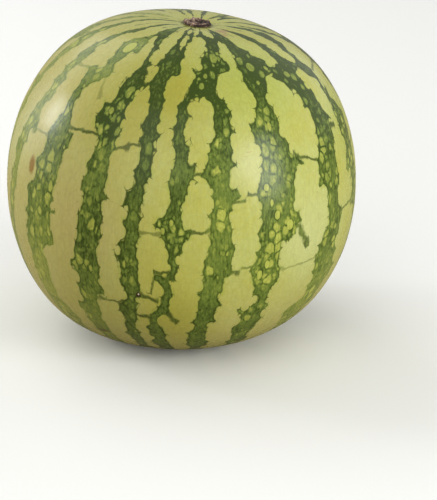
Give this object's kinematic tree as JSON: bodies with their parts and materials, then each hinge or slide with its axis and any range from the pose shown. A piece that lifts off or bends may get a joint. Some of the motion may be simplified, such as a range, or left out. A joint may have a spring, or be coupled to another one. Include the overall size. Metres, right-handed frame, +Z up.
{
  "type": "yellow watermelon",
  "caption": "Whole small round watermelon with a netted green-striped pale yellow-green rind, a corky stem scar and a small flat resting spot.",
  "frame": {"origin": "centre of the fruit's outline in plan, on the surface it rests on", "axes": "+Z up from the resting spot at the blossom end; the stem end leans towards +X; the pictured side faces -Y"},
  "size_m": [0.1904, 0.1908, 0.176],
  "materials": {
    "rind": "smooth waxy fruit rind, satin, pale yellow-green with dark green netted stripes",
    "scar_cork": "dry rough cork, taupe with dark brown pits"
  },
  "bodies": {
    "root": {"watermelon": "rind"}
  },
  "joints": []
}
